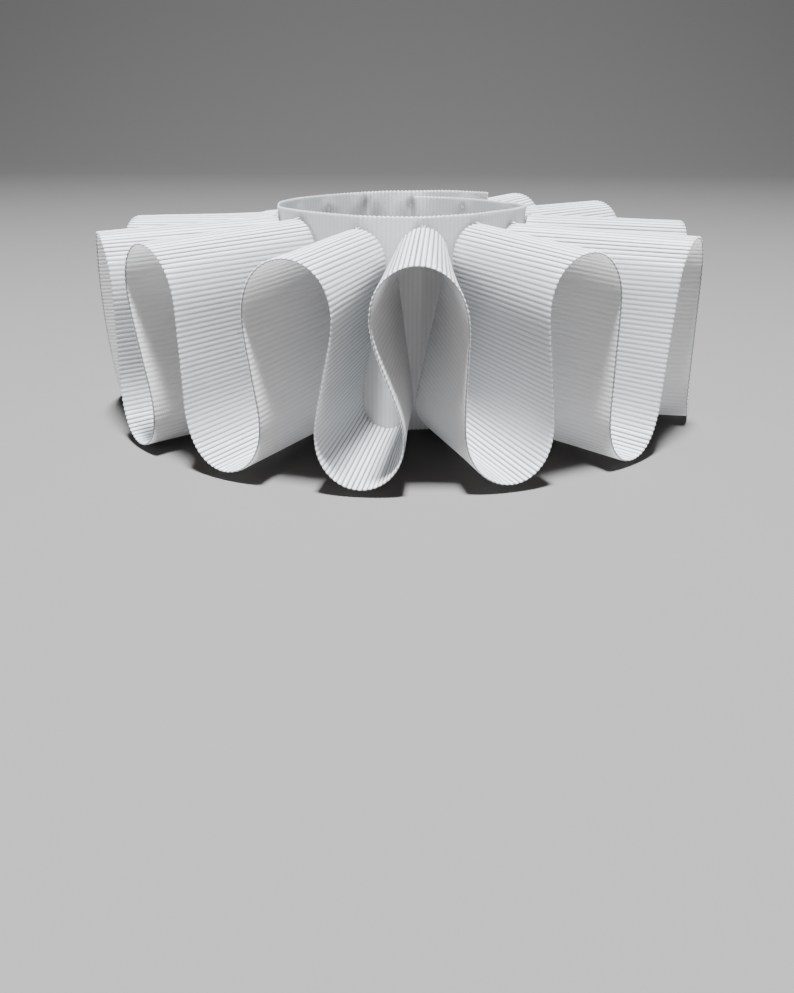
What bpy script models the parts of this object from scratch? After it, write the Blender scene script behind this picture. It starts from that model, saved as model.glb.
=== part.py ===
"""Pleated wrist ruff: a stiff ribbon laid in tall loops round a lapped ribbon band.

Metres, +Z up. The ruff stands on its lowest folds, with the origin under the middle of its outline.
Angles are in degrees round the ring: 0 is the front (-Y), 90 is the right-hand side (+X).
"""
import math

import bmesh
import bpy

COLLECTION_NAME = "ruff"

# Driving sizes, in metres. A seam is left open along each lowest fold, and the band's foot is
# just clear of the table.
WALL = 0.001
BAND_GAP = 0.0006
SEAM_HALF = 0.0003
OUTER_RADIUS = 0.065
BAND_RADIUS = 0.0271
BAND_FOOT = 0.0003
RING_CENTRE = (-0.00018, -0.00006)

# Heights of the middle of the ribbon's thickness at its inner and outer edges. What would reach
# below the table is pressed flat on it.
INNER_LOW = 0.0002
INNER_HIGH = 0.0410
OUTER_LOW = 0.0015
OUTER_HIGH = 0.0403

# Every half wave takes up the same length of ribbon, so its loops bulge more where they are
# closer together, but never into the next loop. A loop bulges by BULGE_SHARE of the length that
# is spent in its bend.
INNER_LENGTH = 0.0467
OUTER_LENGTH = 0.0477
LOOP_CLEARANCE = 0.00065
BULGE_SHARE = 0.40

# Across the ribbon: the first strip stays level, so that the lowest folds rest flat.
LEVEL_SHARE = 0.13
ACROSS = (0.0, LEVEL_SHARE, 0.5, 1.0)
STEPS_PER_HALF = 15
BUNCHING = 0.65

# Taken as the way round to the next fold where the ribbon ends.
TURN_TO_NEXT_FOLD = 24.0

# The ribbon starts in the hollow beside the band's outer end, with its edge turned down.
START = {"outer": 140.5, "inner": 132.6}

# One row for each wave: the angles of its crest at the outer and the inner edge and how far each
# is lifted, in millimetres, and then the same for the hollow after it, lifted at its outer edge.
# The loops opposite the gap in the band sag.
WAVE_COLUMNS = ("crest_outer", "crest_inner", "outer_lift", "inner_lift",
                "hollow_outer", "hollow_inner", "hollow_lift")
WAVES = (
    (151.0, 144.3, -0.1, 0.0, 160.5, 159.5, 0.0),
    (171.0, 175.0, -1.0, 0.0, 181.5, 186.5, 0.0),
    (192.0, 198.7, -2.5, 0.0, 203.0, 209.5, 0.0),
    (214.0, 220.4, -4.7, -0.5, 224.5, 230.5, 0.0),
    (235.0, 241.5, -4.2, -1.2, 245.5, 252.0, 0.0),
    (254.5, 262.5, -2.2, -0.6, 271.0, 273.5, 0.0),
    (294.3, 285.5, -0.4, 0.0, 307.9, 297.5, -0.2),
    (314.8, 310.5, 0.1, 0.5, 330.6, 325.5, 0.3),
    (343.0, 342.0, 0.1, -0.4, 353.8, 354.5, 0.0),
    (362.2, 369.0, -0.4, 0.1, 377.7, 377.0, 0.1),
    (389.3, 392.7, 0.6, 0.4, 402.7, 404.5, -0.2),
    (419.3, 416.8, 0.0, -0.5, 434.0, 430.0, -0.5),
    (458.5, 443.0, -1.9, 0.0, 472.5, 457.5, 0.0),
    (488.5, 472.0, -0.5, 0.0, 498.5, 486.5, 0.0),
)

# One row for each station along the band, from its outer end round to the end tucked inside:
# how far it stands out from its usual radius, and the height of its rim.
BAND_COLUMNS = ("angle", "bulge", "rim")
BAND_STATIONS = (
    (131.2, 0.0, 0.0439),
    (150.0, 0.0, 0.0438),
    (180.0, 0.0, 0.0434),
    (225.0, 0.0, 0.0430),
    (275.0, 0.0, 0.0430),
    (315.0, 0.0, 0.0434),
    (360.0, 0.0, 0.0432),
    (412.0, 0.0, 0.0436),
    (440.0, 0.0, 0.0433),
    (462.0, -0.0005, 0.0427),
    (480.0, -0.0013, 0.0424),
    (492.0, -0.0018, 0.0424),
    (533.0, -0.0018, 0.0423),
)
BAND_STEP_DEGREES = 6.0
RIBBON_STARTS_AT = 131.2
RIBBON_ENDS_AT = 487.5

WHITE_RIBBON = (0.86, 0.86, 0.87, 1.0)
RIBBON_ROUGHNESS = 0.75


def clear_scene():
    for item in list(bpy.data.objects):
        bpy.data.objects.remove(item, do_unlink=True)


def named_rows(columns, rows):
    return [dict(zip(columns, row)) for row in rows]


def ribbon_material(name):
    material = bpy.data.materials.new(name)
    material.use_nodes = True
    shader = material.node_tree.nodes["Principled BSDF"]
    shader.inputs["Base Color"].default_value = WHITE_RIBBON
    shader.inputs["Roughness"].default_value = RIBBON_ROUGHNESS
    shader.inputs["Metallic"].default_value = 0.0
    return material


def ring_point(degrees, radius, height):
    turn = math.radians(degrees)
    x = RING_CENTRE[0] + radius * math.sin(turn)
    y = RING_CENTRE[1] - radius * math.cos(turn)
    return (x, y, height)


def ease(value):
    return value * value * (3.0 - 2.0 * value)


def band_row(degrees):
    """Radius and rim height of the band's middle surface, eased between the stations."""
    rows = named_rows(BAND_COLUMNS, BAND_STATIONS)
    for before, after in zip(rows, rows[1:]):
        if degrees <= after["angle"]:
            break
    share = (degrees - before["angle"]) / (after["angle"] - before["angle"])
    share = ease(min(1.0, max(0.0, share)))
    radius = BAND_RADIUS + before["bulge"] + share * (after["bulge"] - before["bulge"])
    rim = before["rim"] + share * (after["rim"] - before["rim"])
    return radius, rim


def slope_at(share, steepest, bends):
    """Slope of a half wave's path, which is level at its hollow and at its crest."""
    turned = min(1.0, share / bends[0], (1.0 - share) / bends[1])
    return steepest * math.sin(math.pi / 2 * turned)


def half_wave(bends, steepest, samples=120):
    """Path of a half wave of length 1 from its hollow, as (across, up) at even steps."""
    path = [(0.0, 0.0)]
    for index in range(samples):
        slope = slope_at((index + 0.5) / samples, steepest, bends)
        across, up = path[-1]
        path.append((across + math.cos(slope) / samples, up + math.sin(slope) / samples))
    return path


def solve_slope(across, up, bends):
    """The steepest slope with which a half wave's ends stand in the proportion across : up."""
    low, high = 0.3, 2.8
    for _ in range(26):
        steepest = (low + high) / 2
        end = half_wave(bends, steepest)[-1]
        if end[0] * up > end[1] * across:
            low = steepest
        else:
            high = steepest
    return steepest


def solve_half_wave(across, up, length, rooms):
    """A half wave of the given length, whose two bends stay within the room beside them."""
    low, high = 0.08, 0.5
    for _ in range(14):
        bend = (low + high) / 2
        bends = [min(bend, room / (BULGE_SHARE * length)) for room in rooms]
        steepest = solve_slope(across, up, bends)
        scale = up / half_wave(bends, steepest)[-1][1]
        if scale < length:
            low = bend
        else:
            high = bend
    return bends, steepest, scale


def edge_of_half(hollow, crest, edge, length, radius, shares):
    """(degrees, height) of the ribbon's lower face along one edge, from a hollow to its crest."""
    per_degree = radius * math.pi / 180
    step = crest[edge] - hollow[edge]
    direction = 1 if step > 0 else -1
    rooms = [fold[edge + "_room"] * per_degree - LOOP_CLEARANCE for fold in (hollow, crest)]
    low, high = hollow[edge + "_height"], crest[edge + "_height"]
    bends, steepest, scale = solve_half_wave(abs(step) * per_degree, high - low, length, rooms)
    path = half_wave(bends, steepest)
    points = []
    for share in shares:
        slope = slope_at(share, steepest, bends)
        across, up = path_at(path, share)
        across = scale * across + WALL / 2 * math.sin(slope)
        up = scale * up - WALL / 2 * math.cos(slope)
        points.append((hollow[edge] + direction * across / per_degree, low + up))
    return points


def path_at(path, share):
    place = share * (len(path) - 1)
    index = min(int(place), len(path) - 2)
    part = place - index
    before, after = path[index], path[index + 1]
    return (before[0] + part * (after[0] - before[0]), before[1] + part * (after[1] - before[1]))


def shares_from_hollow(first_share):
    """Steps along a half wave, closest together in its bends."""
    shares = []
    for index in range(STEPS_PER_HALF + 1):
        even = index / STEPS_PER_HALF
        bunched = (1 - math.cos(math.pi * even)) / 2
        shares.append(max(first_share, BUNCHING * bunched + (1 - BUNCHING) * even))
    return shares


def half_of_wave(hollow, crest):
    """Rows of points across the ribbon, from a hollow up to its crest."""
    shares = shares_from_hollow(SEAM_HALF / OUTER_LENGTH)
    inner = edge_of_half(hollow, crest, "inner", INNER_LENGTH, inner_radius_at(crest["inner"]), shares)
    outer = edge_of_half(hollow, crest, "outer", OUTER_LENGTH, OUTER_RADIUS, shares)
    rows = []
    for (inner_angle, inner_height), (outer_angle, outer_height) in zip(inner, outer):
        inner_radius = inner_radius_at(inner_angle)
        row = []
        for share in ACROSS:
            angle = inner_angle + share * (outer_angle - inner_angle)
            rise_share = max(0.0, share - LEVEL_SHARE) / (1 - LEVEL_SHARE)
            height = inner_height + rise_share * (outer_height - inner_height)
            radius = inner_radius + share * (OUTER_RADIUS - inner_radius)
            row.append(ring_point(angle, radius, max(height, 0.0)))
        rows.append(row)
    return rows


def inner_radius_at(degrees):
    """Radius at which the ribbon's inner edge meets the band, clear of it by the seam gap."""
    within = min(max(degrees, RIBBON_STARTS_AT), RIBBON_ENDS_AT)
    return band_row(within)[0] + WALL / 2 + BAND_GAP


def sheet_object(name, rows, material, collection):
    """An open sheet through rows of points, thickened to the wall by Solidify."""
    mesh = bpy.data.meshes.new(name)
    edit = bmesh.new()
    lines = [[edit.verts.new(point) for point in row] for row in rows]
    for line, following in zip(lines, lines[1:]):
        for index in range(len(line) - 1):
            edit.faces.new((line[index], line[index + 1], following[index + 1], following[index]))
    edit.to_mesh(mesh)
    edit.free()
    mesh.materials.append(material)
    sheet = bpy.data.objects.new(name, mesh)
    collection.objects.link(sheet)
    return sheet


def thicken(sheet, offset):
    solidify = sheet.modifiers.new("wall", "SOLIDIFY")
    solidify.thickness = WALL
    solidify.offset = offset
    solidify.use_even_offset = True
    triangles = sheet.modifiers.new("facets", "TRIANGULATE")
    triangles.quad_method = "SHORTEST_DIAGONAL"


def folds():
    """Every fold of the ribbon in turn, hollow, crest, hollow and so on."""
    found = [{"outer": START["outer"], "inner": START["inner"],
              "outer_height": OUTER_LOW, "inner_height": INNER_LOW}]
    for wave in named_rows(WAVE_COLUMNS, WAVES):
        found.append({"outer": wave["crest_outer"], "inner": wave["crest_inner"],
                      "outer_height": OUTER_HIGH + wave["outer_lift"] / 1000,
                      "inner_height": INNER_HIGH + wave["inner_lift"] / 1000})
        found.append({"outer": wave["hollow_outer"], "inner": wave["hollow_inner"],
                      "outer_height": OUTER_LOW + wave["hollow_lift"] / 1000,
                      "inner_height": INNER_LOW})
    return found


def with_room(found, index, side):
    """One fold, with half the way to the next fold like it on the given side, in degrees."""
    fold = dict(found[index])
    beyond = index + 2 * side
    for edge in ("outer", "inner"):
        turn = TURN_TO_NEXT_FOLD
        if 0 <= beyond < len(found):
            turn = abs(found[beyond][edge] - fold[edge])
        fold[edge + "_room"] = turn / 2
    return fold


def add_waves(collection):
    material = ribbon_material("ruffle_ribbon")
    found = folds()
    for number in range(1, len(WAVES) + 1):
        crest = 2 * number - 1
        rising = half_of_wave(with_room(found, crest - 1, 1), with_room(found, crest, -1))
        falling = half_of_wave(with_room(found, crest + 1, -1), with_room(found, crest, 1))
        rows = rising + falling[-2::-1]
        sheet = sheet_object(f"ruffle_wave_{number:02d}", rows, material, collection)
        thicken(sheet, 1.0)


def add_band(collection):
    material = ribbon_material("band_ribbon")
    first, last = BAND_STATIONS[0][0], BAND_STATIONS[-1][0]
    steps = round((last - first) / BAND_STEP_DEGREES)
    rows = []
    for index in range(steps + 1):
        degrees = first + (last - first) * index / steps
        radius, rim = band_row(degrees)
        heights = [BAND_FOOT + share * (rim - BAND_FOOT) for share in (0.0, 0.5, 1.0)]
        rows.append([ring_point(degrees, radius, height) for height in heights])
    band = sheet_object("wrist_band", rows, material, collection)
    thicken(band, 0.0)


def main():
    clear_scene()
    collection = bpy.data.collections.new(COLLECTION_NAME)
    bpy.context.scene.collection.children.link(collection)
    add_waves(collection)
    add_band(collection)


main()
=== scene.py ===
import math

import bmesh
import bpy
from mathutils import Matrix, Vector


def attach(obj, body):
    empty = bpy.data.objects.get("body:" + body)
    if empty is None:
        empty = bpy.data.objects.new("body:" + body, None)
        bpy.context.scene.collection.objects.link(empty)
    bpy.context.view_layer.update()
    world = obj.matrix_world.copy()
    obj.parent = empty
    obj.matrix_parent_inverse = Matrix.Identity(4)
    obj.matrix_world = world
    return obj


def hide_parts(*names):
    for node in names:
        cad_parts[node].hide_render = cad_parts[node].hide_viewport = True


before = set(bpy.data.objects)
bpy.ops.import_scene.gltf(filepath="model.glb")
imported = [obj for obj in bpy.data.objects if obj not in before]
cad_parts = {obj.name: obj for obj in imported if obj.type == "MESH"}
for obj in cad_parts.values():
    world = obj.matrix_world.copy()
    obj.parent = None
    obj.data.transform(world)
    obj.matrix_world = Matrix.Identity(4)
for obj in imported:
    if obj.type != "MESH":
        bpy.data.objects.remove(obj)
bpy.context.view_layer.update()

# A white wrist ruff: one ribbed ribbon in tall round loops, tacked round a lapped ribbon band.
# Metres, +Z up. Angles are degrees round the ring: 0 at the front, 90 on the right.

mm = 0.001
ringCentre = (-0.18 * mm, -0.06 * mm)  # the loops are uneven, so the band is a little off the middle


def addNode(tree, kind, inputs=None, **settings):
    # inputs are a list in the node's own order or go by name; a node stands for its first output
    node = tree.nodes.new(kind)
    for name, value in settings.items():
        setattr(node, name, value)
    pairs = inputs.items() if isinstance(inputs, dict) else enumerate(inputs or [])
    for key, value in pairs:
        if isinstance(value, bpy.types.Node):
            value = value.outputs[0]
        if isinstance(value, bpy.types.NodeSocket):
            tree.links.new(value, node.inputs[key])
        else:
            node.inputs[key].default_value = value
    return node


def fromHex(code):
    # sRGB hex to linear RGBA
    channels = [int(code[index:index + 2], 16) / 255 for index in (1, 3, 5)]
    linear = [c / 12.92 if c <= 0.04045 else ((c + 0.055) / 1.055) ** 2.4 for c in channels]
    return (*linear, 1.0)


def ringPoint(degrees, radius, height):
    turn = math.radians(degrees)
    return Vector((ringCentre[0] + radius * math.sin(turn), ringCentre[1] - radius * math.cos(turn), height))


ribbonSizes = {
    "width": 38.0 * mm,
    "ribPitch": 0.92 * mm,     # 27 or 28 ribs to the inch
    "columnsPerRib": 4,
    "rows": 9,
    "scallop": 0.08 * mm,      # how far the selvage swings in and out from rib to rib
    "scallopSharpness": 31.0,  # an odd power, high so that it stays at the selvages
    "thickness": 0.30 * mm,
    "ribHeight": 0.08 * mm,
    "flatRibShare": 0.5,       # what is left of that where the ribbon hangs straight
    "innerRibShare": 0.75,     # ribs are lower on the face inside the loops, drawn flat by the bend
    "edgeRounding": 80.0,      # how fast the selvage reaches full thickness
    "unevenness": 0.35 * mm,
    "unevenScale": 55.0,
    "heldShare": 0.25,         # of the width, where the unevenness grows from nothing at the near edge
    "mergeWithin": 0.005 * mm,  # the two faces are joined where they are nearer than this
}


bandSizes = {
    "radius": 27.1 * mm,
    "rows": 30,
    "ribHeight": 0.02 * mm,    # a finer, flatter weave than the ruffle's
    "foot": 0.09 * mm,         # its lower edge, just clear of the table
    "width": 43.0 * mm,
    "ribbonFrom": 131.2,       # the ruffle goes round the band between these
    "ribbonTo": 487.5,
    "pucker": 0.45 * mm,       # how far its rim bows inwards between two tacks
    "puckerSharpness": 0.6,
    "puckerSpan": 30,          # degrees between tacks that give the full bow
    "lapFrom": 455.0,          # past here it lies smooth, inside its own first end
}

# one row a station: how far the band stands out of its circle, and the height of its rim
bandColumns = ("angle", "bulgeMm", "rimMm")
bandRows = (
    (131.2, 0.0, 43.9),
    (150.0, 0.0, 43.8),
    (180.0, 0.0, 43.4),
    (225.0, 0.0, 43.0),
    (275.0, 0.0, 43.0),
    (315.0, 0.0, 43.4),
    (360.0, 0.0, 43.2),
    (412.0, 0.0, 43.6),
    (440.0, 0.0, 43.3),
    (462.0, -0.5, 42.7),
    (480.0, -1.3, 42.4),
    (492.0, -1.8, 42.4),
    (533.0, -1.8, 42.3),
)
bandStations = [dict(zip(bandColumns, row)) for row in bandRows]


def bandAt(degrees):
    for before, after in zip(bandStations, bandStations[1:]):
        if degrees <= after["angle"]:
            break
    share = min(1.0, max(0.0, (degrees - before["angle"]) / (after["angle"] - before["angle"])))
    share = share * share * (3 - 2 * share)
    bulge = before["bulgeMm"] + share * (after["bulgeMm"] - before["bulgeMm"])
    rim = before["rimMm"] + share * (after["rimMm"] - before["rimMm"])
    return bandSizes["radius"] + bulge * mm, rim * mm


def besideBand(degrees):
    within = min(max(degrees, bandSizes["ribbonFrom"]), bandSizes["ribbonTo"])
    clear = ribbonSizes["thickness"] / 2 + ribbonSizes["ribHeight"] + ruffleSizes["gapToBand"]
    return bandAt(within)[0] + clear


def puckerAt(degrees):
    # the rim bows inwards between the tacks, and each tack leaves a sharp upright crease
    tacks = [wave["crestInner"] for wave in waves]
    for before, after in zip(tacks, tacks[1:]):
        if before <= degrees <= min(after, bandSizes["lapFrom"]):
            bow = math.sin(math.pi * (degrees - before) / (after - before)) ** bandSizes["puckerSharpness"]
            return bandSizes["pucker"] * bow * min(1.0, (after - before) / bandSizes["puckerSpan"])
    return 0.0


def bandEdges():
    first, last = bandRows[0][0], bandRows[-1][0]
    length = math.radians(last - first) * bandSizes["radius"]
    steps = round(length / ribbonSizes["ribPitch"]) * ribbonSizes["columnsPerRib"]
    low, high = [], []
    for step in range(steps + 1):
        degrees = first + (last - first) * step / steps
        radius, rim = bandAt(degrees)
        low.append(ringPoint(degrees, radius, bandSizes["foot"]))
        high.append(ringPoint(degrees, radius - puckerAt(degrees), rim))
    return low, high, length


# heights are of the ribbon's middle surface above the table; every half wave takes the same
# length of ribbon, so a loop bulges more where its neighbours are near
ruffleSizes = {
    "outerRadius": 65.0 * mm,
    "innerLow": 0.31 * mm,
    "innerHigh": 41.0 * mm,
    "outerLow": 1.5 * mm,
    "outerHigh": 40.3 * mm,
    "innerLength": 46.7 * mm,
    "outerLength": 47.7 * mm,
    "loopClearance": 0.4 * mm,
    "bulgeShare": 0.40,        # how far a loop bulges, as a share of the ribbon in its bend
    "endRoom": 12.0,           # degrees free beside the folds at the ribbon's two ends
    "gapToBand": 0.12 * mm,
    "start": {"outer": 140.5, "inner": 132.6},
}

# one row a wave: its crest at the two edges, how far each is lifted in mm, and the hollow after it
waveColumns = ("crestOuter", "crestInner", "outerLift", "innerLift",
               "hollowOuter", "hollowInner", "hollowLift")
waveRows = (
    (151.0, 144.3, -0.1, 0.0, 160.5, 159.5, 0.0),
    (171.0, 175.0, -1.0, 0.0, 181.5, 186.5, 0.0),
    (192.0, 198.7, -2.5, 0.0, 203.0, 209.5, 0.0),
    (214.0, 220.4, -4.7, -0.5, 224.5, 230.5, 0.0),
    (235.0, 241.5, -4.2, -1.2, 245.5, 252.0, 0.0),
    (254.5, 262.5, -2.2, -0.6, 271.0, 273.5, 0.0),
    (294.3, 285.5, -0.4, 0.0, 307.9, 297.5, -0.2),
    (314.8, 310.5, 0.1, 0.5, 330.6, 325.5, 0.3),
    (343.0, 342.0, 0.1, -0.4, 353.8, 354.5, 0.0),
    (362.2, 369.0, -0.4, 0.1, 377.7, 377.0, 0.1),
    (389.3, 392.7, 0.6, 0.4, 402.7, 404.5, -0.2),
    (419.3, 416.8, 0.0, -0.5, 434.0, 430.0, -0.5),
    (458.5, 443.0, -1.9, 0.0, 472.5, 457.5, 0.0),
    (488.5, 472.0, -0.5, 0.0, 498.5, 486.5, 0.0),
)
waves = [dict(zip(waveColumns, row)) for row in waveRows]


def slopeAt(share, steepest, bends):
    turned = min(1.0, share / bends[0], (1 - share) / bends[1])
    return steepest * math.sin(math.pi / 2 * turned)


# how finely a path is worked out, and between which values its slope and its bends are looked for
halving = {"pathSteps": 160, "slope": (0.3, 2.8), "slopeTurns": 26, "bend": (0.08, 0.5), "bendTurns": 14}


def halfWave(bends, steepest):
    # path of length 1 from a hollow to a crest, level at both ends
    steps = halving["pathSteps"]
    path = [(0.0, 0.0)]
    for index in range(steps):
        slope = slopeAt((index + 0.5) / steps, steepest, bends)
        path.append((path[-1][0] + math.cos(slope) / steps, path[-1][1] + math.sin(slope) / steps))
    return path


def solveSlope(across, up, bends):
    # loops lean over past upright where their ends are close together
    low, high = halving["slope"]
    for turn in range(halving["slopeTurns"]):
        steepest = (low + high) / 2
        end = halfWave(bends, steepest)[-1]
        if end[0] * up > end[1] * across:
            low = steepest
        else:
            high = steepest
    return steepest


def solveHalfWave(across, up, length, rooms):
    # widens the bends until the path is as long as the ribbon given to it
    low, high = halving["bend"]
    for turn in range(halving["bendTurns"]):
        bend = (low + high) / 2
        bends = [min(bend, room / (ruffleSizes["bulgeShare"] * length)) for room in rooms]
        path = halfWave(bends, solveSlope(across, up, bends))
        scale = up / path[-1][1]
        if scale < length:
            low = bend
        else:
            high = bend
    return [(scale * x, scale * y) for x, y in path], scale


def pointOnPath(path, share):
    place = share * (len(path) - 1)
    index = min(int(place), len(path) - 2)
    part = place - index
    return [a + part * (b - a) for a, b in zip(path[index], path[index + 1])]


def listFolds():
    # hollow, crest, hollow and so on, each with its angle and height at both edges
    start = ruffleSizes["start"]
    folds = [{"outer": start["outer"], "inner": start["inner"],
              "outerHeight": ruffleSizes["outerLow"], "innerHeight": ruffleSizes["innerLow"]}]
    for wave in waves:
        folds.append({"outer": wave["crestOuter"], "inner": wave["crestInner"],
                      "outerHeight": ruffleSizes["outerHigh"] + wave["outerLift"] * mm,
                      "innerHeight": ruffleSizes["innerHigh"] + wave["innerLift"] * mm})
        folds.append({"outer": wave["hollowOuter"], "inner": wave["hollowInner"],
                      "outerHeight": ruffleSizes["outerLow"] + wave["hollowLift"] * mm,
                      "innerHeight": ruffleSizes["innerLow"]})
    return folds


def roomBeside(folds, index, side, edge):
    # half the way to the next fold of the same kind, in degrees
    beyond = index + 2 * side
    if 0 <= beyond < len(folds):
        return abs(folds[beyond][edge] - folds[index][edge]) / 2
    return ruffleSizes["endRoom"]


def climb(folds, hollow, crest, edge, radius):
    # one edge of the ribbon from a hollow to a crest: a function of the share of the way, and its length
    perDegree = radius * math.pi / 180
    low, high = folds[hollow], folds[crest]
    side = 1 if crest > hollow else -1
    rooms = [roomBeside(folds, hollow, side, edge) * perDegree - ruffleSizes["loopClearance"],
             roomBeside(folds, crest, -side, edge) * perDegree - ruffleSizes["loopClearance"]]
    across = abs(high[edge] - low[edge]) * perDegree
    up = high[edge + "Height"] - low[edge + "Height"]
    path, length = solveHalfWave(across, up, ruffleSizes[edge + "Length"], rooms)

    def place(share):
        across, up = pointOnPath(path, share)
        return low[edge] + side * across / perDegree, low[edge + "Height"] + up
    return place, length


def ruffleEdges():
    inner, outer, lengths = [], [], []
    folds = listFolds()
    for crest in range(1, len(folds), 2):
        for hollow in (crest - 1, crest + 1):
            innerPlace, innerLength = climb(folds, hollow, crest, "inner", besideBand(folds[crest]["inner"]))
            outerPlace, outerLength = climb(folds, hollow, crest, "outer", ruffleSizes["outerRadius"])
            lengths.append((innerLength + outerLength) / 2)
            steps = round(lengths[-1] / ribbonSizes["ribPitch"]) * ribbonSizes["columnsPerRib"]
            for step in range(steps):
                share = step / steps if hollow < crest else 1 - step / steps
                angle, height = innerPlace(share)
                inner.append(ringPoint(angle, besideBand(angle), height))
                angle, height = outerPlace(share)
                outer.append(ringPoint(angle, ruffleSizes["outerRadius"], height))
    return inner, outer, sum(lengths)


def startTree(name, inputs):
    # a node tree with one geometry out, and the named inputs that the modifier fills
    tree = bpy.data.node_groups.new(name, "GeometryNodeTree")
    tree.interface.new_socket("Made", in_out="OUTPUT", socket_type="NodeSocketGeometry")
    tree.interface.new_socket("Blank", in_out="INPUT", socket_type="NodeSocketGeometry")
    for label, kind in inputs:
        tree.interface.new_socket(label, in_out="INPUT", socket_type="NodeSocket" + kind)
    return tree, addNode(tree, "NodeGroupInput").outputs


def finishTree(tree, geometry, finish):
    smooth = addNode(tree, "GeometryNodeSetShadeSmooth", {"Geometry": geometry})
    real = addNode(tree, "GeometryNodeRealizeInstances", {"Geometry": smooth})
    dressed = addNode(tree, "GeometryNodeSetMaterial", {"Geometry": real, "Material": finish})
    addNode(tree, "NodeGroupOutput", [dressed])
    return tree


def layGrid(tree, given):
    # a flat grid whose map has x counting columns along the ribbon, and y going across it
    grid = addNode(tree, "GeometryNodeMeshGrid", {"Size X": 1.0, "Size Y": 1.0,
                   "Vertices X": given["Columns"], "Vertices Y": given["Rows"]})
    place = addNode(tree, "GeometryNodeInputPosition")
    along = addNode(tree, "ShaderNodeSeparateXYZ", [place]).outputs
    lastColumn = addNode(tree, "ShaderNodeMath", [given["Columns"], 1.0], operation="SUBTRACT")
    way = addNode(tree, "ShaderNodeMath", [along["X"], 0.5], operation="ADD")
    columns = addNode(tree, "ShaderNodeMath", [way, lastColumn], operation="MULTIPLY")
    column = addNode(tree, "ShaderNodeMath", [columns], operation="ROUND")
    # rows crowd towards both selvages, by easing the share across twice
    share = addNode(tree, "ShaderNodeMath", [along["Y"], 0.5], operation="ADD")
    for ease in range(2):
        angle = addNode(tree, "ShaderNodeMath", [share, math.pi], operation="MULTIPLY")
        cosine = addNode(tree, "ShaderNodeMath", [angle], operation="COSINE")
        share = addNode(tree, "ShaderNodeMath", [cosine, -0.5, 0.5], operation="MULTIPLY_ADD")
    pair = addNode(tree, "ShaderNodeCombineXYZ", {"X": column, "Y": share})
    mapped = addNode(tree, "GeometryNodeStoreNamedAttribute",
                     {"Geometry": grid, "Name": "ribbonUV", "Value": pair},
                     data_type="FLOAT2", domain="CORNER")
    return mapped, lastColumn


def hangRibbon(tree, given, mapped, across, turn):
    # each column runs straight from the near edge to the far one
    ends = []
    for edge in ("Near Edge", "Far Edge"):
        line = addNode(tree, "GeometryNodeObjectInfo", {"Object": given[edge]}).outputs["Geometry"]
        point = addNode(tree, "GeometryNodeInputPosition")
        ends.append(addNode(tree, "GeometryNodeSampleIndex",
                            {"Geometry": line, "Value": point, "Index": across["X"]},
                            data_type="FLOAT_VECTOR", domain="POINT").outputs[0])
    # the selvages are scalloped, because the weft turns round at the end of each rib; the high odd
    # power is -1 at one selvage, 1 at the other and nothing between
    side = addNode(tree, "ShaderNodeMath", [across["Y"], 2.0, -1.0], operation="MULTIPLY_ADD")
    outward = addNode(tree, "ShaderNodeMath", [side, given["Scallop Sharpness"]], operation="POWER")
    wave = addNode(tree, "ShaderNodeMath", [turn], operation="COSINE")
    swing = addNode(tree, "ShaderNodeMath", [wave, given["Scallop"]], operation="MULTIPLY")
    reach = addNode(tree, "ShaderNodeMath", [swing, outward, across["Y"]], operation="MULTIPLY_ADD")
    straight = addNode(tree, "ShaderNodeMix", {"Factor": reach, "A": ends[0], "B": ends[1]},
                       data_type="VECTOR", clamp_factor=False).outputs["Result"]
    return addNode(tree, "GeometryNodeSetPosition", {"Geometry": mapped, "Position": straight})


def unsettle(tree, given, geometry, across, normal):
    # soft unevenness along the normal, held still at the near edge
    noise = addNode(tree, "ShaderNodeTexNoise", {"Scale": given["Uneven Scale"], "Detail": 1.0})
    centred = addNode(tree, "ShaderNodeMath", [noise, 0.5], operation="SUBTRACT")
    swing = addNode(tree, "ShaderNodeMath", [centred, given["Unevenness"]], operation="MULTIPLY")
    fromNear = addNode(tree, "ShaderNodeMath", [across["Y"], given["Held Share"]], operation="DIVIDE")
    held = addNode(tree, "ShaderNodeMath", [fromNear, 1.0], operation="MINIMUM")
    distance = addNode(tree, "ShaderNodeMath", [held, swing], operation="MULTIPLY")
    drift = addNode(tree, "ShaderNodeVectorMath", {0: normal, "Scale": distance}, operation="SCALE")
    return addNode(tree, "GeometryNodeSetPosition", {"Geometry": geometry, "Offset": drift})


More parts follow.
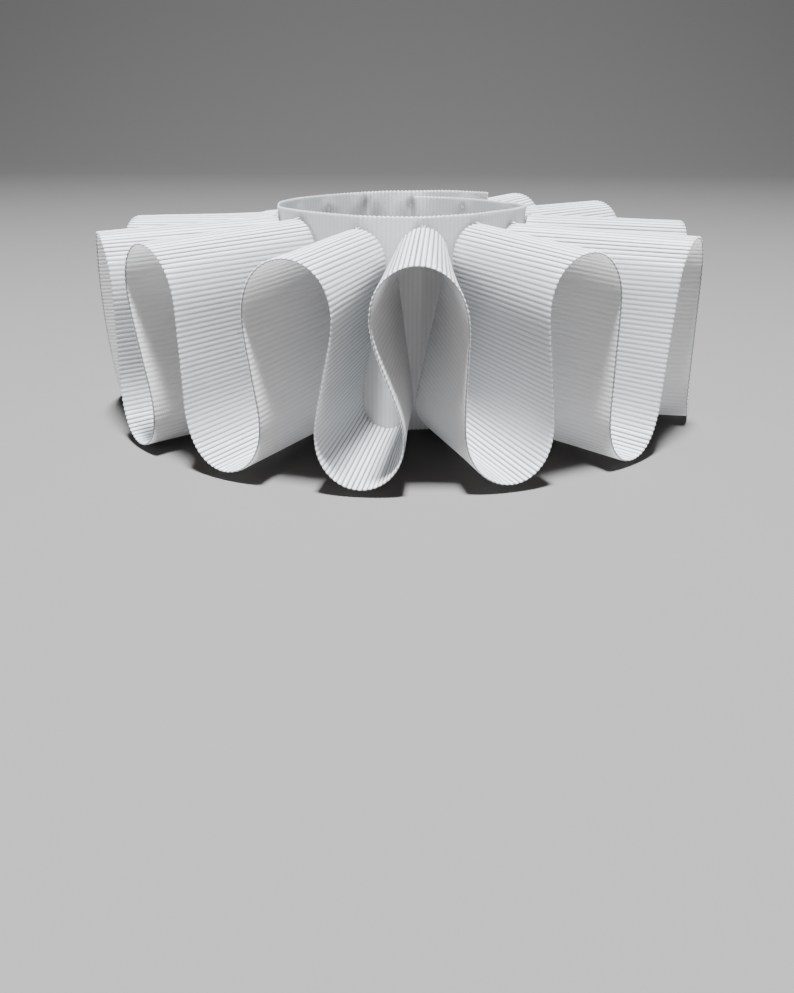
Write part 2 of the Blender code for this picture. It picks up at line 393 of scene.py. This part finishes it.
def ribProfile(tree, given, across, turn, lastColumn):
    # the rib's height, and how far the ribbon is from closed: nothing at the selvages and cut ends
    openness = addNode(tree, "GeometryNodeInputNamedAttribute", {"Name": "openness"},
                       data_type="FLOAT").outputs["Attribute"]
    opened = addNode(tree, "ShaderNodeMix", {"Factor": openness, "A": given["Flat Rib Share"], "B": 1.0},
                     data_type="FLOAT")
    wave = addNode(tree, "ShaderNodeMath", [turn], operation="COSINE")
    fullRib = addNode(tree, "ShaderNodeMath", [wave, given["Rib Height"]], operation="MULTIPLY")
    rib = addNode(tree, "ShaderNodeMath", [fullRib, opened], operation="MULTIPLY")
    toFar = addNode(tree, "ShaderNodeMath", [1.0, across["Y"]], operation="SUBTRACT")
    bow = addNode(tree, "ShaderNodeMath", [across["Y"], toFar], operation="MULTIPLY")
    fullBow = addNode(tree, "ShaderNodeMath", [bow, 4.0], operation="MULTIPLY")
    steep = addNode(tree, "ShaderNodeMath", [fullBow, given["Edge Rounding"]], operation="MULTIPLY")
    root = addNode(tree, "ShaderNodeMath", [steep], operation="SQRT")
    reach = addNode(tree, "ShaderNodeMath", [root, 1.0], operation="MINIMUM")
    toEnd = addNode(tree, "ShaderNodeMath", [lastColumn, across["X"]], operation="SUBTRACT")
    for columns in (across["X"], toEnd):
        end = addNode(tree, "ShaderNodeMath", [columns, 1.0], operation="MINIMUM")
        reach = addNode(tree, "ShaderNodeMath", [reach, end], operation="MULTIPLY")
    return rib, reach


def ribbedRibbonTree():
    tree, given = startTree("ribbedRibbon", (
        ("Near Edge", "Object"), ("Far Edge", "Object"), ("Columns", "Int"), ("Rows", "Int"),
        ("Columns Per Rib", "Int"), ("Thickness", "Float"), ("Rib Height", "Float"),
        ("Flat Rib Share", "Float"), ("Inner Rib Share", "Float"), ("Scallop", "Float"),
        ("Scallop Sharpness", "Float"), ("Edge Rounding", "Float"), ("Unevenness", "Float"),
        ("Uneven Scale", "Float"), ("Held Share", "Float"), ("Merge Within", "Float"),
        ("Finish", "Material")))
    mapped, lastColumn = layGrid(tree, given)
    stored = addNode(tree, "GeometryNodeInputNamedAttribute", {"Name": "ribbonUV"},
                     data_type="FLOAT_VECTOR").outputs["Attribute"]
    across = addNode(tree, "ShaderNodeSeparateXYZ", [stored]).outputs
    ribs = addNode(tree, "ShaderNodeMath", [across["X"], given["Columns Per Rib"]], operation="DIVIDE")
    turn = addNode(tree, "ShaderNodeMath", [ribs, 2 * math.pi], operation="MULTIPLY")
    hung = hangRibbon(tree, given, mapped, across, turn)

    # ribs stand open where the ribbon turns over, level, and lie closed where it hangs straight
    normal = addNode(tree, "GeometryNodeInputNormal").outputs[0]
    tilt = addNode(tree, "ShaderNodeSeparateXYZ", [normal]).outputs
    level = addNode(tree, "ShaderNodeMath", [tilt["Z"]], operation="ABSOLUTE")
    marked = addNode(tree, "GeometryNodeStoreNamedAttribute",
                     {"Geometry": hung, "Name": "openness", "Value": level},
                     data_type="FLOAT", domain="POINT")
    soft = unsettle(tree, given, marked, across, normal)

    # the ribs swell both faces
    rib, reach = ribProfile(tree, given, across, turn, lastColumn)
    faces = []
    for side, ribShare in ((1.0, given["Inner Rib Share"]), (-1.0, 1.0)):
        plain = addNode(tree, "ShaderNodeMath", [given["Thickness"], 0.5], operation="MULTIPLY")
        half = addNode(tree, "ShaderNodeMath", [rib, ribShare, plain], operation="MULTIPLY_ADD")
        closing = addNode(tree, "ShaderNodeMath", [reach, half], operation="MULTIPLY")
        distance = addNode(tree, "ShaderNodeMath", [closing, side], operation="MULTIPLY")
        move = addNode(tree, "ShaderNodeVectorMath", {0: normal, "Scale": distance}, operation="SCALE")
        faces.append(addNode(tree, "GeometryNodeSetPosition", {"Geometry": soft, "Offset": move}))
    # across the ribbon the map runs 0 to 1 on one face and on to 2 on the other, which is the face
    # inside the loops, and on the band the one towards them
    mirrored = addNode(tree, "ShaderNodeMath", [2.0, across["Y"]], operation="SUBTRACT")
    back = addNode(tree, "ShaderNodeCombineXYZ", {"X": across["X"], "Y": mirrored})
    inside = addNode(tree, "GeometryNodeStoreNamedAttribute",
                     {"Geometry": faces[0], "Name": "ribbonUV", "Value": back},
                     data_type="FLOAT2", domain="CORNER")
    under = addNode(tree, "GeometryNodeFlipFaces", {"Mesh": faces[1]})
    both = addNode(tree, "GeometryNodeJoinGeometry")
    for half in (inside, under):
        tree.links.new(half.outputs[0], both.inputs[0])
    closed = addNode(tree, "GeometryNodeMergeByDistance",
                     {"Geometry": both, "Distance": given["Merge Within"]})
    return finishTree(tree, closed, given["Finish"])


def edgeLine(name, points):
    # a bare line of points, read by the ribbon's nodes and removed afterwards
    mesh = bpy.data.meshes.new(name)
    mesh.from_pydata([tuple(point) for point in points], [], [])
    line = bpy.data.objects.new(name, mesh)
    bpy.context.collection.objects.link(line)
    return line


def grow(name, tree, values, finish):
    # runs a node tree on an empty mesh, and keeps what it makes as a plain mesh
    blank = bpy.data.objects.new(name + "Blank", bpy.data.meshes.new(name + "Blank"))
    bpy.context.collection.objects.link(blank)
    modifier = blank.modifiers.new(name, "NODES")
    modifier.node_group = tree
    sockets = {item.name: item.identifier for item in tree.interface.items_tree if item.in_out == "INPUT"}
    for label, value in values.items():
        modifier[sockets[label]] = value
    modifier[sockets["Finish"]] = finish
    blank.update_tag()
    shaped = blank.evaluated_get(bpy.context.evaluated_depsgraph_get())
    mesh = bpy.data.meshes.new_from_object(shaped)
    mesh.name = name
    piece = bpy.data.objects.new(name, mesh)
    bpy.context.collection.objects.link(piece)
    bpy.data.objects.remove(blank, do_unlink=True)
    return piece


def splitCorners(mesh):
    # at the ribbon's four corners its two faces share two sides, so each corner quad is cut from the
    # corner inwards: cut the other way, it would leave two triangles lying on each other
    edit = bmesh.new()
    edit.from_mesh(mesh)
    for corner in [vert for vert in edit.verts if len(vert.link_faces) == 2]:
        for face in list(corner.link_faces):
            around = list(face.verts)
            bmesh.utils.face_split(face, corner, around[(around.index(corner) + 2) % 4])
    edit.to_mesh(mesh)
    edit.free()


def weaveRibbon(name, near, far, rows, ribHeight, tree, finish):
    nearLine = edgeLine(name + "Near", near)
    farLine = edgeLine(name + "Far", far)
    ribbon = grow(name, tree, {
        "Near Edge": nearLine, "Far Edge": farLine, "Columns": len(near), "Rows": rows,
        "Columns Per Rib": ribbonSizes["columnsPerRib"], "Thickness": ribbonSizes["thickness"],
        "Rib Height": ribHeight, "Flat Rib Share": ribbonSizes["flatRibShare"],
        "Inner Rib Share": ribbonSizes["innerRibShare"],
        "Scallop": ribbonSizes["scallop"] / ribbonSizes["width"],
        "Scallop Sharpness": ribbonSizes["scallopSharpness"],
        "Edge Rounding": ribbonSizes["edgeRounding"],
        "Unevenness": ribbonSizes["unevenness"], "Uneven Scale": ribbonSizes["unevenScale"],
        "Held Share": ribbonSizes["heldShare"], "Merge Within": ribbonSizes["mergeWithin"]}, finish)
    splitCorners(ribbon.data)
    for line in (nearLine, farLine):
        bpy.data.objects.remove(line, do_unlink=True)
    print(name, len(ribbon.data.vertices), "points", len(ribbon.data.polygons), "faces")
    return ribbon


# one tack a wave, through the band just under the top of the loop, and how hard it pulls
tackSizes = {
    "below": 0.7 * mm,         # under the middle of the loop's top
    "pulls": (0.9, 1.3, 1.5, 0.8, 0.7, 0.7, 0.7, 0.7, 0.7, 0.7, 0.7, 0.7, 0.7, 0.7),
    "dimple": 1.3 * mm,        # radius of the hollow, for a pull of 1
    "farthest": 4.0,           # that many radii away nothing is felt
    "ring": 0.45 * mm,
    "thread": 0.24 * mm,
    "apart": 0.22 * mm,        # each of the two threads from the tack's middle
    "splay": 0.12,             # radians, one thread each way
    "inside": {"length": 1.5 * mm, "bow": 0.15 * mm},
    "outside": {"length": 1.2 * mm, "bow": 0.12 * mm, "fromBand": 0.4 * mm, "above": 0.22 * mm, "tilt": 0.35},
}


def findTacks():
    # one a wave, by its crest's angle at the band
    found = []
    for wave, pull in zip(waves, tackSizes["pulls"]):
        angle = wave["crestInner"]
        height = ruffleSizes["innerHigh"] + wave["innerLift"] * mm - tackSizes["below"]
        found.append({"angle": angle, "pull": pull, "height": height,
                      "outward": ringPoint(angle, 1.0, 0.0).normalized(),
                      "spot": ringPoint(angle, bandSizes["radius"], height)})
    return found


def dimpleBand(band, tacks):
    # each tack draws in a small hollow inside the band, with a soft ring raised round it; it goes
    # through both layers of the lap
    pulls = []
    for vertex in band.data.vertices:
        pull = 0.0
        middle = Vector((ringCentre[0], ringCentre[1], vertex.co.z))
        outward = (vertex.co - middle).normalized()
        onCircle = middle + outward * bandSizes["radius"]
        for tack in tacks:
            away = (onCircle - tack["spot"]).length / (tackSizes["dimple"] * tack["pull"])
            if away < tackSizes["farthest"]:
                pull = max(pull, math.exp(-away * away))
                ring = away * math.exp(-away * away / 2)
                vertex.co -= outward * tackSizes["ring"] * tack["pull"] * ring
        pulls.append(pull)
    mark = band.data.attributes.new("tackPull", "FLOAT", "POINT")
    mark.data.foreach_set("value", pulls)


def tackStitchTree():
    # two short threads laid side by side over each tack, drawn tight so they bow only a little
    tree, given = startTree("tackStitch", (
        ("Tacks", "Object"), ("Length", "Float"), ("Bow", "Float"), ("Thread", "Float"),
        ("Apart", "Float"), ("Splay", "Float"), ("Finish", "Material")))
    # x goes up the band, z out of it
    half = addNode(tree, "ShaderNodeMath", [given["Length"], 0.5], operation="MULTIPLY")
    back = addNode(tree, "ShaderNodeMath", [half, -1.0], operation="MULTIPLY")
    start = addNode(tree, "ShaderNodeCombineXYZ", {"X": back})
    middle = addNode(tree, "ShaderNodeCombineXYZ", {"Z": given["Bow"]})
    end = addNode(tree, "ShaderNodeCombineXYZ", {"X": half})
    arc = addNode(tree, "GeometryNodeCurveQuadraticBezier",
                  {"Resolution": 6, "Start": start, "Middle": middle, "End": end})
    section = addNode(tree, "GeometryNodeCurvePrimitiveCircle",
                      {"Resolution": 8, "Radius": given["Thread"]}, mode="RADIUS")
    thread = addNode(tree, "GeometryNodeCurveToMesh",
                     {"Curve": arc, "Profile Curve": section, "Fill Caps": True})
    pair = addNode(tree, "GeometryNodeJoinGeometry")
    for side in (1.0, -1.0):
        apart = addNode(tree, "ShaderNodeMath", [given["Apart"], side], operation="MULTIPLY")
        splay = addNode(tree, "ShaderNodeMath", [given["Splay"], side], operation="MULTIPLY")
        offset = addNode(tree, "ShaderNodeCombineXYZ", {"Y": apart})
        turned = addNode(tree, "ShaderNodeCombineXYZ", {"Z": splay})
        aside = addNode(tree, "GeometryNodeTransform",
                        {"Geometry": thread, "Translation": offset, "Rotation": turned})
        tree.links.new(aside.outputs[0], pair.inputs[0])

    line = addNode(tree, "GeometryNodeObjectInfo", {"Object": given["Tacks"]}).outputs["Geometry"]
    facing = addNode(tree, "GeometryNodeInputNamedAttribute", {"Name": "facing"},
                     data_type="FLOAT_VECTOR").outputs["Attribute"]
    upright = addNode(tree, "FunctionNodeAxesToRotation",
                      {"Primary Axis": facing, "Secondary Axis": (0.0, 0.0, 1.0)},
                      primary_axis="Z", secondary_axis="X")
    placed = addNode(tree, "GeometryNodeInstanceOnPoints",
                     {"Points": line, "Instance": pair, "Rotation": upright})
    return finishTree(tree, placed, given["Finish"])


def sewTacks(name, spots, facings, sizes, tree, finish):
    line = edgeLine(name + "Spots", spots)
    mark = line.data.attributes.new("facing", "FLOAT_VECTOR", "POINT")
    mark.data.foreach_set("vector", [value for facing in facings for value in facing])
    stitches = grow(name, tree, {
        "Tacks": line, "Length": sizes["length"], "Bow": sizes["bow"],
        "Thread": tackSizes["thread"] / 2, "Apart": tackSizes["apart"], "Splay": tackSizes["splay"]}, finish)
    bpy.data.objects.remove(line, do_unlink=True)
    print(name, len(spots), "tacks,", len(stitches.data.polygons), "faces")
    return stitches


def sewInside(tacks, tree, finish):
    # on the innermost layer, which is the lap beside the band's first end
    spots = []
    for tack in tacks:
        lapped = tack["angle"] + 360 <= bandStations[-1]["angle"]
        layer = bandAt(tack["angle"] + 360 if lapped else tack["angle"])[0]
        spots.append(ringPoint(tack["angle"], layer - ribbonSizes["thickness"] / 2, tack["height"]))
    facings = [-tack["outward"] for tack in tacks]
    return sewTacks("insideTacks", spots, facings, tackSizes["inside"], tree, finish)


def sewOutside(tacks, tree, finish):
    # outside, the threads lie on top of the loop and run into the band
    sizes = tackSizes["outside"]
    spots, facings = [], []
    for tack in tacks:
        radius = besideBand(tack["angle"]) + sizes["fromBand"]
        spots.append(ringPoint(tack["angle"], radius, tack["height"] + tackSizes["below"] + sizes["above"]))
        facings.append((tack["outward"] * sizes["tilt"] + Vector((0, 0, 1))).normalized())
    return sewTacks("outsideTacks", spots, facings, sizes, tree, finish)


# colours are of the crest and valley of a rib on a ribbon's two faces: "inside" is the face inside the loops,
# and on the band the one towards them. The valley colour is painted shade, the dark of the narrow dips
# between ribs
grosgrainFinish = {
    # the inside colours are a painted shade tint: warmer, for the warm shade light inside the loops, with a
    # lighter dip so the ribs show less there
    "ruffle": {"crest": "#e1e2e3", "valleyShade": "#444648", "insideCrestShadeTint": "#dfdcd9", "insideValleyShade": "#c2bfbc",
               "edge": 1.0, "rise": 0.07, "insideRise": 0.05, "flat": 0.25},
    # the band is the same white ribbon, drawn grey on both faces: painted shade for the shade the loops cast
    # on it
    "band": {"crest": "#b3b5b6", "valleyShade": "#a8aaab", "insideCrestShadeTint": "#c4c2c1", "insideValleyShade": "#bbb9b8",
             "edge": 0.0, "rise": 0.01, "insideRise": 0.01, "flat": 1.0},
    # painted shade along the selvage, on the face inside the loops
    "selvage": "#6f706e",
    "tackDimpleShade": "#78706b",     # painted shade in the dimples that the tacks draw in
    "tackShade": 0.75,
    "selvageWidth": 0.22,      # mm, the dense turned edge
    "warpPitch": 0.5,          # mm between the fine threads that cross the ribs, drawn coarser than life
    "threadHeight": 0.006,     # mm
    "dipSharpness": 3.0,
    "openFrom": 1.6,           # how soon a tilted stretch counts as fully open
    "shader": {
        "Roughness": 0.5,
        "Subsurface Weight": 0.7,  # thin ribbon lets light through
        "Subsurface Radius": (1.0, 1.0, 1.0),
        "Subsurface Scale": 2.0 * mm,
        "Sheen Weight": 0.1,
        "Sheen Roughness": 0.5,
        "IOR": 1.57,
        # the warp threads catch light along each rib, and are dull across it
        "Specular IOR Level": 0.9,
        "Anisotropic": 0.9,
        "Anisotropic Rotation": 0.25,
    },
}


def ribColourWithDipShade(tree, look, inside, hump, depth):
    # each face has its own crest and valley colour; the valley colour is painted shade, kept to a narrow dip
    # between two ribs, and strongest where the ribbon turns over and lies level
    square = addNode(tree, "ShaderNodeMath", [hump, hump], operation="MULTIPLY")
    low = addNode(tree, "ShaderNodeMath", [1.0, square], operation="SUBTRACT")
    dip = addNode(tree, "ShaderNodeMath", [low, grosgrainFinish["dipSharpness"]], operation="POWER")
    dipShade = addNode(tree, "ShaderNodeMath", [dip, depth], operation="MULTIPLY")
    parts = []
    for outer, inner in (("crest", "insideCrestShadeTint"), ("valleyShade", "insideValleyShade")):
        parts.append(addNode(tree, "ShaderNodeMix",
                             {"Factor": inside, "A": fromHex(look[outer]), "B": fromHex(look[inner])},
                             data_type="RGBA").outputs["Result"])
    return addNode(tree, "ShaderNodeMix", {"Factor": dipShade, "A": parts[0], "B": parts[1]},
                   data_type="RGBA").outputs["Result"]


def paintSelvageShade(tree, look, inside, share, colour):
    # painted shade: a dark line along the selvage on the face inside the loops, where the edge is turned from
    # the light; the dense turned weave is a little duller too
    toFar = addNode(tree, "ShaderNodeMath", [1.0, share], operation="SUBTRACT")
    nearer = addNode(tree, "ShaderNodeMath", [share, toFar], operation="MINIMUM")
    toEdge = addNode(tree, "ShaderNodeMath", [nearer, ribbonSizes["width"] / mm], operation="MULTIPLY")
    edge = addNode(tree, "ShaderNodeMath", [toEdge, grosgrainFinish["selvageWidth"]], operation="LESS_THAN")
    insideEdge = addNode(tree, "ShaderNodeMath", [edge, inside], operation="MULTIPLY")
    factor = addNode(tree, "ShaderNodeMath", [insideEdge, look["edge"]], operation="MULTIPLY")
    selvage = fromHex(grosgrainFinish["selvage"])
    return addNode(tree, "ShaderNodeMix", {"Factor": factor, "A": colour, "B": selvage},
                   data_type="RGBA").outputs["Result"]


def paintTackDimpleShade(tree, colour):
    # painted shade: darkens the band where each tack pulls in its dimple
    pulled = addNode(tree, "ShaderNodeAttribute", attribute_name="tackPull").outputs["Fac"]
    factor = addNode(tree, "ShaderNodeMath", [pulled, grosgrainFinish["tackShade"]], operation="MULTIPLY")
    dimpleShadeColour = fromHex(grosgrainFinish["tackDimpleShade"])
    return addNode(tree, "ShaderNodeMix", {"Factor": factor, "A": colour, "B": dimpleShadeColour},
                   data_type="RGBA").outputs["Result"]


def weaveHeight(tree, look, inside, ribs, hump, depth, share):
    # round ribs with a sharp dip beside each, and warp threads that step half a thread from rib to rib
    perWidth = 2 * math.pi * ribbonSizes["width"] / mm / grosgrainFinish["warpPitch"]
    rib = addNode(tree, "ShaderNodeMath", [ribs], operation="ROUND")
    shift = addNode(tree, "ShaderNodeMath", [rib, math.pi], operation="MULTIPLY")
    phase = addNode(tree, "ShaderNodeMath", [share, perWidth, shift], operation="MULTIPLY_ADD")
    wave = addNode(tree, "ShaderNodeMath", [phase], operation="SINE")
    thread = addNode(tree, "ShaderNodeMath", [wave, grosgrainFinish["threadHeight"]], operation="MULTIPLY")
    more = look["insideRise"] - look["rise"]
    rise = addNode(tree, "ShaderNodeMath", [inside, more, look["rise"]], operation="MULTIPLY_ADD")
    rounded = addNode(tree, "ShaderNodeMath", [hump], operation="SQRT")
    risen = addNode(tree, "ShaderNodeMath", [rounded, rise], operation="MULTIPLY")
    return addNode(tree, "ShaderNodeMath", [risen, depth, thread], operation="MULTIPLY_ADD")


def grosgrain(name, look):
    # white polyester grosgrain, woven: silky warp threads over every rib, and painted shade where the weave
    # dips
    material = bpy.data.materials.new(name)
    material.use_nodes = True
    tree = material.node_tree
    shader = tree.nodes["Principled BSDF"]
    for socket, value in grosgrainFinish["shader"].items():
        shader.inputs[socket].default_value = value

    uv = addNode(tree, "ShaderNodeUVMap", uv_map="ribbonUV")
    along = addNode(tree, "ShaderNodeSeparateXYZ", [uv]).outputs
    inside = addNode(tree, "ShaderNodeMath", [along["Y"], 1.0], operation="GREATER_THAN")
    fromOne = addNode(tree, "ShaderNodeMath", [along["Y"], 1.0], operation="SUBTRACT")
    away = addNode(tree, "ShaderNodeMath", [fromOne], operation="ABSOLUTE")
    share = addNode(tree, "ShaderNodeMath", [1.0, away], operation="SUBTRACT")
    perRib = float(ribbonSizes["columnsPerRib"])
    ribs = addNode(tree, "ShaderNodeMath", [along["X"], perRib], operation="DIVIDE")
    turn = addNode(tree, "ShaderNodeMath", [ribs, math.pi], operation="MULTIPLY")
    wave = addNode(tree, "ShaderNodeMath", [turn], operation="COSINE")
    hump = addNode(tree, "ShaderNodeMath", [wave], operation="ABSOLUTE")
    openness = addNode(tree, "ShaderNodeAttribute", attribute_name="openness").outputs["Fac"]
    opened = addNode(tree, "ShaderNodeMath", [openness, grosgrainFinish["openFrom"]],
                     operation="MULTIPLY", use_clamp=True)
    flat = look["flat"]
    depth = addNode(tree, "ShaderNodeMath", [opened, 1.0 - flat, flat], operation="MULTIPLY_ADD")

    colour = ribColourWithDipShade(tree, look, inside, hump, depth)
    colour = paintTackDimpleShade(tree, paintSelvageShade(tree, look, inside, share, colour))
    tree.links.new(colour, shader.inputs["Base Color"])
    height = weaveHeight(tree, look, inside, ribs, hump, depth, share)
    bump = addNode(tree, "ShaderNodeBump", {"Strength": 1.0, "Distance": mm, "Height": height})
    tree.links.new(bump.outputs[0], shader.inputs["Normal"])
    threadLine = addNode(tree, "ShaderNodeTangent", direction_type="UV_MAP", uv_map="ribbonUV")
    tree.links.new(threadLine.outputs[0], shader.inputs["Tangent"])
    return material


sewingFinish = {
    # in the grooves of the twist and on it: both greys are painted shade on white thread
    "colours": ("#a8a49f", "#c4c2bf"),
    "plyScale": 500.0,         # a band of twist about every 1.3 mm up a thread, drawn coarser than life
    "plyDistortion": 0.5,
    "plyDepth": 0.05 * mm,
    "plyStrength": 0.6,
    "roughness": 0.7,
    "sheen": 0.3,
}


# white spun polyester thread of twisted plies, matt; drawn grey as painted shade, so the tacks read dark like
# their dimples, and darker still in the grooves of the twist as painted shade
def sewingThread():
    # white spun polyester thread of twisted plies: matt, a little darker than the silky ribbon
    material = bpy.data.materials.new("whiteSewingThread")
    material.use_nodes = True
    tree = material.node_tree
    shader = tree.nodes["Principled BSDF"]
    shader.inputs["Roughness"].default_value = sewingFinish["roughness"]
    shader.inputs["Sheen Weight"].default_value = sewingFinish["sheen"]
    place = addNode(tree, "ShaderNodeTexCoord").outputs["Object"]
    plies = addNode(tree, "ShaderNodeTexWave",
                    {"Vector": place, "Scale": sewingFinish["plyScale"],
                     "Distortion": sewingFinish["plyDistortion"]},
                    bands_direction="DIAGONAL").outputs["Fac"]
    dark, light = [fromHex(code) for code in sewingFinish["colours"]]
    colour = addNode(tree, "ShaderNodeMix", {"Factor": plies, "A": dark, "B": light},
                     data_type="RGBA").outputs["Result"]
    tree.links.new(colour, shader.inputs["Base Color"])
    bump = addNode(tree, "ShaderNodeBump",
                   {"Strength": sewingFinish["plyStrength"], "Distance": sewingFinish["plyDepth"],
                    "Height": plies})
    tree.links.new(bump.outputs[0], shader.inputs["Normal"])
    return material


# metres
stageSizes = {"halfWidth": 1.6, "front": -1.2, "back": 0.7, "bend": 0.5, "bendSteps": 12, "height": 1.8}
paperFinish = {"colour": "#6f6d6b", "roughness": 0.9}  # pale under the strong key light


def addStage():
    # a pale floor that turns up into a pale backdrop
    turn = stageSizes["bend"]
    profile = [(stageSizes["front"], 0.0), (stageSizes["back"], 0.0)]
    for step in range(1, stageSizes["bendSteps"] + 1):
        angle = math.pi / 2 * step / stageSizes["bendSteps"]
        profile.append((stageSizes["back"] + turn * math.sin(angle), turn - turn * math.cos(angle)))
    profile.append((stageSizes["back"] + turn, stageSizes["height"]))
    edit = bmesh.new()
    lines = []
    for side in (-stageSizes["halfWidth"], stageSizes["halfWidth"]):
        lines.append([edit.verts.new((side, y, z)) for y, z in profile])
    for index in range(len(profile) - 1):
        face = edit.faces.new((lines[0][index], lines[1][index], lines[1][index + 1], lines[0][index + 1]))
        face.smooth = True
    mesh = bpy.data.meshes.new("studioFloor")
    edit.to_mesh(mesh)
    edit.free()
    paper = bpy.data.materials.new("paleMattPaper")  # matt backdrop paper, no pattern
    paper.use_nodes = True
    shader = paper.node_tree.nodes["Principled BSDF"]
    shader.inputs["Base Color"].default_value = fromHex(paperFinish["colour"])
    shader.inputs["Roughness"].default_value = paperFinish["roughness"]
    mesh.materials.append(paper)
    floor = bpy.data.objects.new("studioFloor", mesh)
    bpy.context.collection.objects.link(floor)


# metres and watts; every lamp looks at the same spot inside the ring
lightAim = (0.0, 0.0, 0.02)
lights = (
    {"name": "keySoftbox", "at": (-0.01, -0.17, 0.775), "size": 0.10, "watts": 34.0, "tint": "#f6faff"},
    {"name": "frontFill", "at": (0.05, -0.9, 0.30), "size": 0.8, "watts": 0.075, "tint": "#fff8f2"},
)

roomGlow = {"colour": "#ede8e4", "strength": 0.025}


def addLights():
    for light in lights:
        data = bpy.data.lights.new(light["name"], "AREA")
        data.energy = light["watts"]
        data.size = light["size"]
        data.color = fromHex(light["tint"])[:3]
        lamp = bpy.data.objects.new(light["name"], data)
        lamp.location = light["at"]
        lamp.rotation_euler = (Vector(lightAim) - lamp.location).to_track_quat("-Z", "Y").to_euler()
        bpy.context.collection.objects.link(lamp)
    world = bpy.data.worlds.new("paleRoom")
    world.use_nodes = True
    glow = world.node_tree.nodes["Background"]
    glow.inputs["Color"].default_value = fromHex(roomGlow["colour"])
    glow.inputs["Strength"].default_value = roomGlow["strength"]
    bpy.context.scene.world = world


cameraSizes = {
    "back": 220.9 * mm,        # from the ring's middle
    "height": 64.56 * mm,
    "down": 22.34,             # degrees
    "left": 0.18,
    "roll": 0.25,
    "lens": 35.24,             # mm
    "nearest": 10.0 * mm,
}


def addCamera():
    data = bpy.data.cameras.new("camera")
    data.lens = cameraSizes["lens"]
    data.clip_start = cameraSizes["nearest"]
    camera = bpy.data.objects.new("camera", data)
    turn = Matrix.Rotation(math.radians(cameraSizes["left"]), 4, "Z")
    tilt = Matrix.Rotation(math.radians(90 - cameraSizes["down"]), 4, "X")
    roll = Matrix.Rotation(math.radians(cameraSizes["roll"]), 4, "Z")
    spot = Matrix.Translation((ringCentre[0], ringCentre[1] - cameraSizes["back"], cameraSizes["height"]))
    camera.matrix_world = spot @ turn @ tilt @ roll
    bpy.context.collection.objects.link(camera)
    bpy.context.scene.camera = camera


ribbonTree = ribbedRibbonTree()
innerEdge, outerEdge, ruffleLength = ruffleEdges()
ruffle = weaveRibbon("ruffleRibbon", innerEdge, outerEdge, ribbonSizes["rows"], ribbonSizes["ribHeight"],
                     ribbonTree, grosgrain("whiteGrosgrainRuffle", grosgrainFinish["ruffle"]))
print("ruffle ribbon", round(ruffleLength * 1000), "mm long")

lowEdge, highEdge, bandLength = bandEdges()
band = weaveRibbon("bandRibbon", lowEdge, highEdge, bandSizes["rows"], bandSizes["ribHeight"],
                   ribbonTree, grosgrain("whiteGrosgrainBandInShade", grosgrainFinish["band"]))
print("band ribbon", round(bandLength * 1000), "mm long")

tacks = findTacks()
dimpleBand(band, tacks)
stitchTree = tackStitchTree()
threadFinish = sewingThread()
insideTacks = sewInside(tacks, stitchTree, threadFinish)
outsideTacks = sewOutside(tacks, stitchTree, threadFinish)

addStage()
addLights()
addCamera()
print("stage, lights and camera set")

waveNodes = [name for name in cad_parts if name.startswith("ruffle_wave")]
for piece in (ruffle, band, insideTacks, outsideTacks):
    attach(piece, "root")
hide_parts(*waveNodes)
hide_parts("wrist_band")
